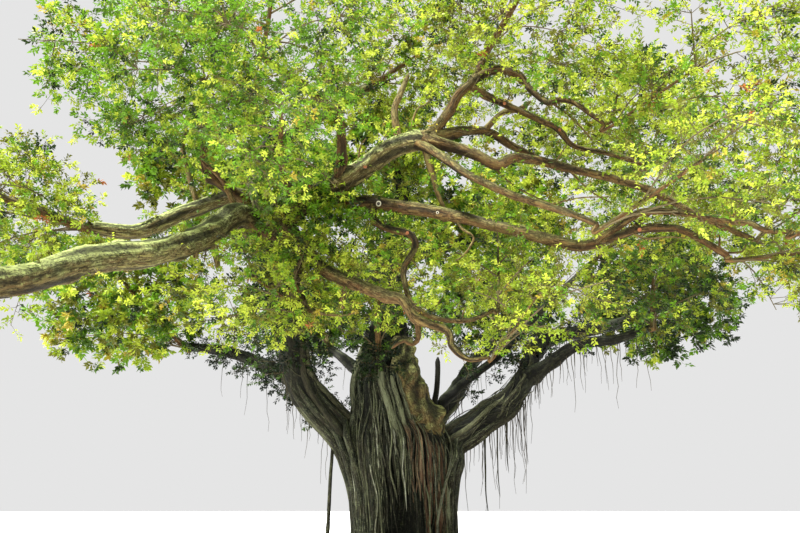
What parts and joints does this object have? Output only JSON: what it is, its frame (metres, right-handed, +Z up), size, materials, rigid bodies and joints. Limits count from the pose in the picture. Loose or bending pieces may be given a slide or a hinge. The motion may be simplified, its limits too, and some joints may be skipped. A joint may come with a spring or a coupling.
{
  "type": "banyan tree",
  "caption": "Whole broad banyan: a trunk clad in fused aerial roots, long spreading boughs, hanging roots and a wide, low-domed evergreen crown.",
  "frame": {"origin": "the ground mount: the middle of the flat cut under the trunk, at ground level", "axes": "+Z up; +X to the tree's right as the picture shows it; -Y towards the viewer, where the long front limbs reach"},
  "size_m": [30.0146, 28.4017, 16.7804],
  "materials": {
    "trunk_bark": "rough grey-brown bark of fused upright aerial roots, with pale lichen and dark gaps",
    "limb_bark": "fairly smooth brown bark with pale lichen patches and a reddish cast on the thinner limbs",
    "root_bark": "dark, thin, fibrous hanging roots",
    "foliage": "small glossy leaves, yellow-green where young and sunlit, deep green in the shade"
  },
  "bodies": {
    "root": {"arch_fall": "limb_bark", "arch_limb": "limb_bark", "arch_lower": "limb_bark", "back_bough": "limb_bark", "back_high_left": "limb_bark", "back_high_right": "limb_bark", "back_left_bough": "limb_bark", "back_right_bough": "limb_bark", "centre_stem": "limb_bark", "diagonal": "limb_bark", "drooping": "limb_bark", "far_left": "limb_bark", "foliage_arch_fall": "foliage", "foliage_arch_limb": "foliage", "foliage_arch_lower": "foliage", "foliage_back_bough": "foliage", "foliage_back_high_left": "foliage", "foliage_back_high_right": "foliage", "foliage_back_left_bough": "foliage", "foliage_back_right_bough": "foliage", "foliage_diagonal": "foliage", "foliage_drooping": "foliage", "foliage_far_left": "foliage", "foliage_front_high": "foliage", "foliage_front_low": "foliage", "foliage_hanging_left": "foliage", "foliage_high_centre": "foliage", "foliage_kinked": "foliage", "foliage_long_right": "foliage", "foliage_lower_right": "foliage", "foliage_near_left": "foliage", "foliage_right_far": "foliage", "foliage_right_near": "foliage", "foliage_right_tip": "foliage", "foliage_rising_left": "foliage", "foliage_top_bough": "foliage", "foliage_trunk_front": "foliage", "foliage_wide_right": "foliage", "front_high": "limb_bark", "hanging_left": "limb_bark", "hanging_root_1": "root_bark", "hanging_root_2": "root_bark", "hanging_root_3": "root_bark", "high_centre": "limb_bark", "kinked": "limb_bark", "left_bough": "limb_bark", "long_right": "limb_bark", "lower_right": "limb_bark", "main_front": "limb_bark", "near_left": "limb_bark", "prop_root": "root_bark", "right_bough": "limb_bark", "right_far": "limb_bark", "right_near": "limb_bark", "right_tip": "limb_bark", "rising_left": "limb_bark", "top_bough": "limb_bark", "trunk": "trunk_bark", "twin_upper": "limb_bark", "wide_right": "limb_bark"}
  },
  "joints": []
}
